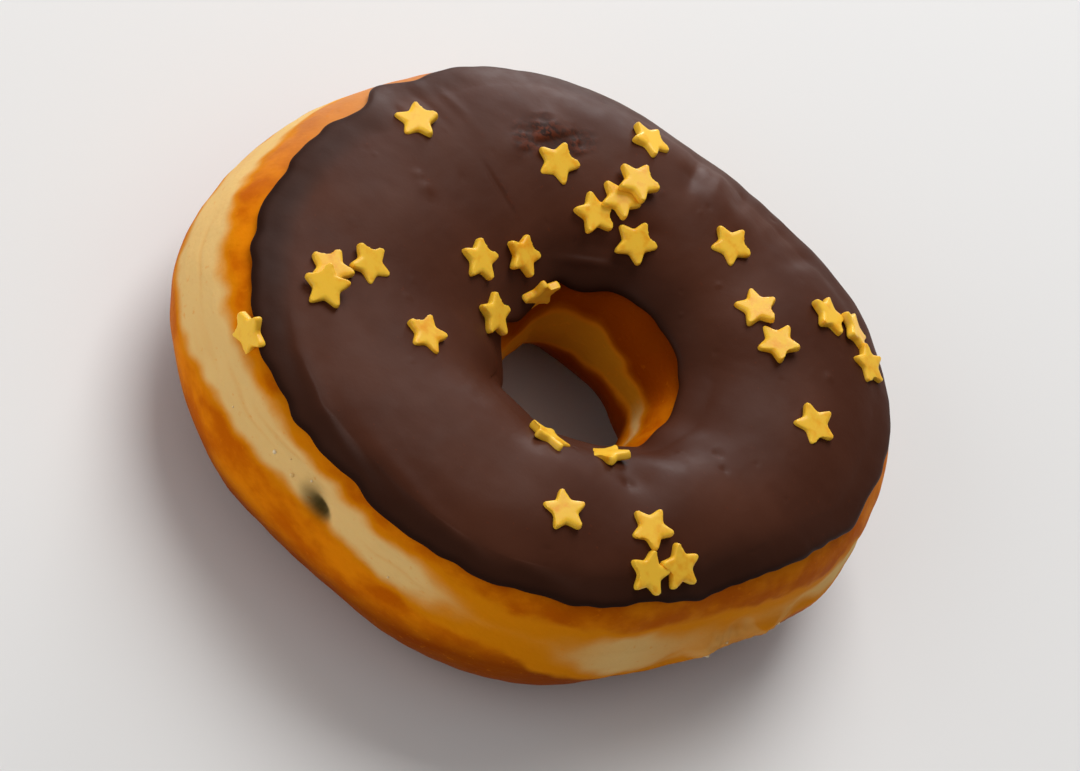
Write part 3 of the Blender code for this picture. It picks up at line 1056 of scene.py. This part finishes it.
def make_crumbs():
    """Tiny crumbs stuck to the belt and the torn edge, joined into one piece."""
    shift = frame_shift()
    draw = np.random.default_rng(71)
    copies = []
    for direction, height, size in CRUMBS:
        around = np.full(CRUMB_TRIES, math.radians(direction))
        across = np.linspace(-0.6, 0.8, CRUMB_TRIES)
        places = dough_surface(around, across, True)[0]
        place = places[np.argmin(np.abs(places[:, 2] - height * MM))] + shift
        deselect_all()
        bpy.ops.mesh.primitive_ico_sphere_add(subdivisions=2, radius=size * MM)
        crumb = bpy.context.object
        for vertex in crumb.data.vertices:
            vertex.co *= draw.uniform(0.7, 1.15)
        crumb.data.transform(Matrix.Translation(Vector(place)))
        copies.append(crumb)
    crumbs = join_pieces(copies, "loose_crumbs")
    crumbs.data.materials.append(crumb_material())
    finish_piece(crumbs, "fried_dough")
    return crumbs


def add_node(tree, kind, values=None, **settings):
    """A shader node with its sockets set to numbers or linked to other sockets."""
    node = tree.nodes.new(kind)
    for name, value in settings.items():
        setattr(node, name, value)
    for name, value in (values or {}).items():
        if isinstance(value, bpy.types.NodeSocket):
            tree.links.new(value, node.inputs[name])
        else:
            node.inputs[name].default_value = value
    return node


def math_node(tree, operation, first, second=0.0):
    """The result of one sum on two values."""
    return add_node(tree, "ShaderNodeMath", {0: first, 1: second}, operation=operation).outputs[0]


def times(tree, first, second):
    """The product of two values."""
    return math_node(tree, "MULTIPLY", first, second)


def plus(tree, first, second):
    """The sum of two values."""
    return math_node(tree, "ADD", first, second)


def map_range(tree, value, low, high, out_low=0.0, out_high=1.0):
    """A value eased from one range to another."""
    node = add_node(
        tree,
        "ShaderNodeMapRange",
        {"Value": value, "From Min": low, "From Max": high, "To Min": out_low, "To Max": out_high},
        interpolation_type="SMOOTHSTEP",
    )
    return node.outputs[0]


def mix_colour(tree, share, first, second):
    """One colour faded into another."""
    node = add_node(tree, "ShaderNodeMix", data_type="RGBA")
    for socket, value in ((node.inputs[0], share), (node.inputs[6], first), (node.inputs[7], second)):
        if isinstance(value, bpy.types.NodeSocket):
            tree.links.new(value, socket)
        elif isinstance(value, (int, float)):
            socket.default_value = value
        else:
            socket.default_value = (*value, 1.0)
    return node.outputs[2]


def attribute(tree, name):
    """A number kept on the mesh's points."""
    return add_node(tree, "ShaderNodeAttribute", attribute_name=name).outputs["Fac"]


def mottle_group():
    """Shared effect: soft mottling and fine grain from the object's own coordinates."""
    group = bpy.data.node_groups.get("mottle")
    if group:
        return group
    group = bpy.data.node_groups.new("mottle", "ShaderNodeTree")
    for name, default in (("Soft Size", 100.0), ("Grain Size", 900.0), ("Stretch", 1.0)):
        socket = group.interface.new_socket(name=name, in_out="INPUT", socket_type="NodeSocketFloat")
        socket.default_value = default
    for name in ("Soft", "Grain", "Pores"):
        group.interface.new_socket(name=name, in_out="OUTPUT", socket_type="NodeSocketFloat")
    start = group.nodes.new("NodeGroupInput")
    end = group.nodes.new("NodeGroupOutput")
    place = add_node(group, "ShaderNodeTexCoord").outputs["Object"]
    stretch = add_node(group, "ShaderNodeCombineXYZ", {"X": 1.0, "Y": 1.0, "Z": start.outputs["Stretch"]})
    spot = add_node(group, "ShaderNodeVectorMath", {0: place, 1: stretch.outputs[0]}, operation="MULTIPLY")
    spot = spot.outputs[0]
    soft = {"Vector": spot, "Scale": start.outputs["Soft Size"], "Detail": 5.0}
    soft = add_node(group, "ShaderNodeTexNoise", soft)
    grain = {"Vector": spot, "Scale": start.outputs["Grain Size"], "Detail": 3.0}
    grain = add_node(group, "ShaderNodeTexNoise", grain)
    pores = add_node(group, "ShaderNodeTexVoronoi", {"Vector": spot, "Scale": start.outputs["Grain Size"]})
    group.links.new(soft.outputs[0], end.inputs["Soft"])
    group.links.new(grain.outputs[0], end.inputs["Grain"])
    group.links.new(pores.outputs["Distance"], end.inputs["Pores"])
    return group


def mottle(tree, soft_size, grain_size, stretch):
    """The shared effect placed in a material with its own values."""
    node = tree.nodes.new("ShaderNodeGroup")
    node.node_tree = mottle_group()
    node.inputs["Soft Size"].default_value = soft_size
    node.inputs["Grain Size"].default_value = grain_size
    node.inputs["Stretch"].default_value = stretch
    return node.outputs


def new_material(name, settings):
    """A material with its shader's constant sockets set."""
    material = bpy.data.materials.new(name)
    material.use_nodes = True
    shader = material.node_tree.nodes["Principled BSDF"]
    for socket, value in settings.items():
        shader.inputs[socket].default_value = value
    return material, material.node_tree, shader


def connect_bump(tree, shader, height, strength, distance):
    """Fine relief on the shader's normal."""
    values = {"Height": height, "Strength": strength, "Distance": distance}
    tree.links.new(add_node(tree, "ShaderNodeBump", values).outputs[0], shader.inputs["Normal"])


def dough_material():
    """Satin fried crust, darker and lighter in patches, with the pale belt and the dark pit, painted shade in
    the hole and a painted sheen above the belt.
    """
    colour = colours()
    material, tree, shader = new_material(
        "fried_dough",
        {"Subsurface Weight": 0.12, "Subsurface Radius": (0.004, 0.002, 0.001), "Subsurface Scale": 0.5,
         "Specular IOR Level": 0.015, "Specular Tint": (1.0, 0.55, 0.2, 1.0)},
    )
    effect = mottle(tree, *CRUST_MOTTLE)
    soft, grain, pores = effect["Soft"], effect["Grain"], effect["Pores"]
    crust_tone = map_range(tree, soft, 0.35, 0.66)
    crust = mix_colour(tree, crust_tone, colour.crust_dark, colour.crust)
    # Darker crust outside, and painted shade in the hole.
    crust = mix_colour(tree, times(tree, attribute(tree, "darker_and_hole_shade"), 0.85), crust, colour.crust_deepest_and_shade)
    # Painted sheen on the crust above the belt.
    painted_sheen = times(tree, attribute(tree, "painted_sheen"), 0.75)
    crust = mix_colour(tree, painted_sheen, crust, colour.crust_sheen)
    wavy = times(tree, math_node(tree, "SUBTRACT", soft, 0.5), 2.2)
    inside = plus(tree, attribute(tree, "belt"), wavy)
    wavy_stain = times(tree, math_node(tree, "SUBTRACT", soft, 0.6), 0.8)
    amber = map_range(tree, inside, -0.9, 0.5)
    turning = attribute(tree, "amber")
    pale_from = times(tree, turning, 1.5)
    pale_to = plus(tree, times(tree, turning, 6.0), 1.7)
    pale = map_range(tree, inside, pale_from, pale_to)
    pale = times(tree, pale, map_range(tree, turning, 0.0, 1.0, 1.0, 0.2))
    # Painted shade in the hole: the belt there turns olive brown.
    in_hole = attribute(tree, "hole")
    belt = mix_colour(tree, map_range(tree, in_hole, 0.0, 0.8), colour.belt, colour.belt_shade_in_hole)
    body = mix_colour(tree, amber, crust, colour.belt_amber)
    body = mix_colour(tree, pale, body, belt)
    speckle = map_range(tree, grain, 0.62, 0.75, 0.0, 0.35)
    body = mix_colour(tree, speckle, body, colour.crust)
    torn = map_range(tree, attribute(tree, "torn"), 0.25, 0.7, 0.0, 0.3)
    body = mix_colour(tree, torn, body, colour.belt)
    lines = map_range(tree, attribute(tree, "crease"), 0.0, 1.0, 0.0, 0.18)
    body = mix_colour(tree, lines, body, colour.belt_amber)
    # More painted shade in the hole, off the belt.
    off_belt = map_range(tree, inside, 0.0, 1.0, 0.75, 0.15)
    deeper = times(tree, in_hole, off_belt)
    body = mix_colour(tree, deeper, body, colour.crust_deepest_and_shade)
    stain = map_range(tree, plus(tree, attribute(tree, "stain"), wavy_stain), 0.0, 1.0, 0.0, 0.55)
    body = mix_colour(tree, stain, body, colour.pit)
    pit = map_range(tree, attribute(tree, "pit"), 0.0, 1.1, 0.0, 0.92)
    body = mix_colour(tree, pit, body, colour.pit)
    tree.links.new(body, shader.inputs["Base Color"])
    tree.links.new(map_range(tree, inside, -0.5, 1.0, 0.48, 0.66), shader.inputs["Roughness"])
    relief = plus(tree, grain, times(tree, pores, -0.5))
    connect_bump(tree, shader, relief, *CRUST_BUMP)
    return material


def icing_material():
    """Satin dark icing with a lighter bloom, redder where it is thin, and with painted shade in the patch's
    hollows, at its rim and on its sides.
    """
    colour = colours()
    material, tree, shader = new_material("chocolate_icing", {"Specular IOR Level": 0.055})
    effect = mottle(tree, *ICING_MOTTLE)
    soft, grain = effect["Soft"], effect["Grain"]
    skin = mottle(tree, *ICING_SKIN)
    bloom = map_range(tree, soft, 0.35, 0.65)
    body = mix_colour(tree, bloom, colour.icing, colour.icing_bloom)
    thin = attribute(tree, "thin")
    body = mix_colour(tree, times(tree, thin, 0.85), body, colour.icing_patch_and_shade)
    red = times(tree, thin, map_range(tree, grain, 0.40, 0.58, 0.0, 0.85))
    body = mix_colour(tree, red, body, colour.icing_thin)
    # Painted shade in the patch's hollows.
    body = mix_colour(tree, attribute(tree, "hollow_shade"), body, colour.icing_patch_and_shade)
    specks = map_range(tree, grain, 0.68, 0.76, 0.0, 0.35)
    body = mix_colour(tree, specks, body, colour.icing_thin)
    # Painted shade at the rim, on the outer side and on the hole's shaded side.
    dark = attribute(tree, "dark")
    body = mix_colour(tree, times(tree, dark, 0.9), body, colour.icing_patch_and_shade)
    tree.links.new(body, shader.inputs["Base Color"])
    gloss = map_range(tree, skin["Soft"], 0.3, 0.7, 0.40, 0.50)
    dulled = plus(tree, gloss, map_range(tree, dark, 0.6, 1.0, 0.0, 0.3))
    tree.links.new(dulled, shader.inputs["Roughness"])
    fine = plus(tree, times(tree, skin["Soft"], 0.8), times(tree, grain, 0.5))
    rough = map_range(tree, thin, 0.0, 0.6, 1.0, 3.0)
    connect_bump(tree, shader, times(tree, fine, rough), *ICING_BUMP)
    return material


def star_material():
    """Smooth pressed sugar, each star a little lighter or deeper."""
    colour = colours()
    material, tree, shader = new_material(
        "star_sprinkles",
        {"Specular IOR Level": 0.25, "Subsurface Weight": 0.15, "Subsurface Radius": (0.002, 0.001, 0.0004),
         "Subsurface Scale": 0.4, "Coat Weight": 0.08, "Coat Roughness": 0.2},
    )
    effect = mottle(tree, *STAR_MOTTLE)
    tone = plus(tree, effect["Soft"], times(tree, attribute(tree, "shade"), 0.15))
    body = mix_colour(tree, map_range(tree, tone, 0.30, 0.65), colour.star_deep, colour.star)
    tree.links.new(body, shader.inputs["Base Color"])
    tree.links.new(map_range(tree, effect["Soft"], 0.3, 0.7, 0.34, 0.46), shader.inputs["Roughness"])
    connect_bump(tree, shader, effect["Grain"], *STAR_BUMP)
    return material


def crumb_material():
    """Dry pale crumbs."""
    colour = colours()
    material, tree, shader = new_material("loose_crumbs", {"Roughness": 0.8, "Specular IOR Level": 0.2})
    effect = mottle(tree, *CRUMB_MOTTLE)
    body = mix_colour(tree, map_range(tree, effect["Soft"], 0.35, 0.65), colour.belt, colour.crumb)
    tree.links.new(body, shader.inputs["Base Color"])
    connect_bump(tree, shader, effect["Grain"], *CRUMB_BUMP)
    return material


def camera_axes():
    """The camera's right, up and backward directions at the photograph's angle to the doughnut."""
    stage = bpy.context.scene.doughnut_stage
    back = Vector((0, -math.cos(stage.elevation), math.sin(stage.elevation)))
    right = Vector((1, 0, 0))
    up = back.cross(right)
    rolled_right = right * math.cos(stage.roll) - up * math.sin(stage.roll)
    rolled_up = right * math.sin(stage.roll) + up * math.cos(stage.roll)
    return rolled_right, rolled_up, back


# Where the camera stands, about the middle of the hole, and what it is aimed at.
STAND_OVER = (-5.8 * MM, 1.1 * MM, 13.3 * MM)
STAND_SIDEWAYS = -0.0534
STAND_UPWARDS = 0.0121
AIM = (1.0 * MM, -0.5 * MM, 15.0 * MM)


# The lights: (name, width, place, colour), and the strength of the light all round.
LIGHTS = (
    ("key", 0.7, (-0.26, 0.62, 0.85), (1.0, 0.98, 0.96)),
    ("fill", 1.1, (-0.72, -0.90, 0.43), (1.0, 0.99, 0.98)),
    ("back", 0.45, (-0.30, 1.15, 0.22), (0.97, 0.98, 1.0)),
)
ROOM_STRENGTH = 0.25
FLOOR_WIDTH = 4.0


def make_camera():
    """The camera at the photograph's viewing angle, aimed so that the doughnut is in the middle."""
    stage = bpy.context.scene.doughnut_stage
    right, up, back = camera_axes()
    aim = Vector(AIM)
    over = Vector(STAND_OVER) + Vector(frame_shift())
    place = over + stage.distance * (back + STAND_SIDEWAYS * right + STAND_UPWARDS * up)
    toward = (place - aim).normalized()
    side = up.cross(toward).normalized()
    turned = Matrix((side, toward.cross(side), toward)).transposed().to_4x4()
    turned.translation = place
    camera = bpy.data.objects.new("camera", bpy.data.cameras.new("camera"))
    bpy.context.scene.collection.objects.link(camera)
    camera.data.sensor_width = 36.0
    camera.data.lens = stage.lens
    camera.data.clip_start = 0.01
    camera.matrix_world = turned
    bpy.context.scene.camera = camera


def add_light(name, power, size, place, colour):
    """A soft square light that faces the doughnut."""
    data = bpy.data.lights.new(name, "AREA")
    data.energy = power
    data.size = size
    data.color = colour
    light = bpy.data.objects.new(name, data)
    light.location = place
    light.rotation_euler = Vector(place).to_track_quat("Z", "Y").to_euler()
    bpy.context.scene.collection.objects.link(light)


def make_lights():
    """Soft light from above the picture, a low fill and a back light, in a pale room."""
    stage = bpy.context.scene.doughnut_stage
    powers = (stage.key_power, stage.fill_power, stage.back_power)
    for power, (name, size, place, colour) in zip(powers, LIGHTS):
        add_light(name, power, size, place, colour)
    world = bpy.data.worlds.new("pale_room")
    world.use_nodes = True
    room = world.node_tree.nodes["Background"]
    room.inputs["Color"].default_value = (1.0, 1.0, 1.0, 1.0)
    room.inputs["Strength"].default_value = ROOM_STRENGTH
    bpy.context.scene.world = world
    bpy.context.scene.view_settings.view_transform = "Standard"


def make_floor():
    """A plain pale floor."""
    deselect_all()
    bpy.ops.mesh.primitive_plane_add(size=FLOOR_WIDTH, location=(0, 0, 0))
    floor = bpy.context.object
    floor.name = "floor"
    colour = (*bpy.context.scene.doughnut_stage.floor, 1.0)
    material = new_material("pale_floor", {"Roughness": 0.7, "Base Color": colour})[0]
    floor.data.materials.append(material)


class DOUGHNUT_OT_add_dough(bpy.types.Operator):
    """Adds the fried dough ring"""

    bl_idname = "doughnut.add_dough"
    bl_label = "Add Dough"

    def execute(self, context):
        make_dough()
        return {"FINISHED"}


class DOUGHNUT_OT_add_icing(bpy.types.Operator):
    """Adds the skin of dark icing"""

    bl_idname = "doughnut.add_icing"
    bl_label = "Add Icing"

    def execute(self, context):
        make_icing()
        return {"FINISHED"}


class DOUGHNUT_OT_add_stars(bpy.types.Operator):
    """Adds the star sprinkles"""

    bl_idname = "doughnut.add_stars"
    bl_label = "Add Stars"

    def execute(self, context):
        make_stars()
        return {"FINISHED"}


class DOUGHNUT_OT_add_crumbs(bpy.types.Operator):
    """Adds the tiny crumbs on the belt"""

    bl_idname = "doughnut.add_crumbs"
    bl_label = "Add Crumbs"

    def execute(self, context):
        make_crumbs()
        return {"FINISHED"}


class DOUGHNUT_OT_add_stage(bpy.types.Operator):
    """Adds the floor, the lights and the camera"""

    bl_idname = "doughnut.add_stage"
    bl_label = "Add Stage"

    def execute(self, context):
        make_floor()
        make_lights()
        make_camera()
        return {"FINISHED"}


class DOUGHNUT_PT_panel(bpy.types.Panel):
    """Lists the doughnut's pieces and settings"""

    bl_idname = "DOUGHNUT_PT_panel"
    bl_label = "Doughnut"
    bl_space_type = "VIEW_3D"
    bl_region_type = "UI"
    bl_category = "Doughnut"

    def draw(self, context):
        scene = context.scene
        for operator in OPERATORS:
            self.layout.operator(operator.bl_idname)
        for group in (scene.doughnut_sizes, scene.doughnut_colours, scene.doughnut_stage):
            box = self.layout.box()
            for name in group.bl_rna.properties.keys():
                if name not in ("rna_type", "name"):
                    box.prop(group, name)


OPERATORS = (
    DOUGHNUT_OT_add_dough,
    DOUGHNUT_OT_add_icing,
    DOUGHNUT_OT_add_stars,
    DOUGHNUT_OT_add_crumbs,
    DOUGHNUT_OT_add_stage,
)
GROUPS = (DoughnutSizes, DoughnutColours, DoughnutStage)


def register():
    """Registers the classes and hangs the settings on the scene."""
    for item in (*GROUPS, *OPERATORS, DOUGHNUT_PT_panel):
        bpy.utils.register_class(item)
    bpy.types.Scene.doughnut_sizes = bpy.props.PointerProperty(type=DoughnutSizes)
    bpy.types.Scene.doughnut_colours = bpy.props.PointerProperty(type=DoughnutColours)
    bpy.types.Scene.doughnut_stage = bpy.props.PointerProperty(type=DoughnutStage)


def unregister():
    """Removes the settings and the classes again."""
    del bpy.types.Scene.doughnut_sizes
    del bpy.types.Scene.doughnut_colours
    del bpy.types.Scene.doughnut_stage
    for item in reversed((*GROUPS, *OPERATORS, DOUGHNUT_PT_panel)):
        bpy.utils.unregister_class(item)


def main():
    """Makes every piece and the stage."""
    register()
    bpy.ops.doughnut.add_dough()
    bpy.ops.doughnut.add_icing()
    bpy.ops.doughnut.add_stars()
    bpy.ops.doughnut.add_crumbs()
    bpy.ops.doughnut.add_stage()


if __name__ == "__main__":
    main()
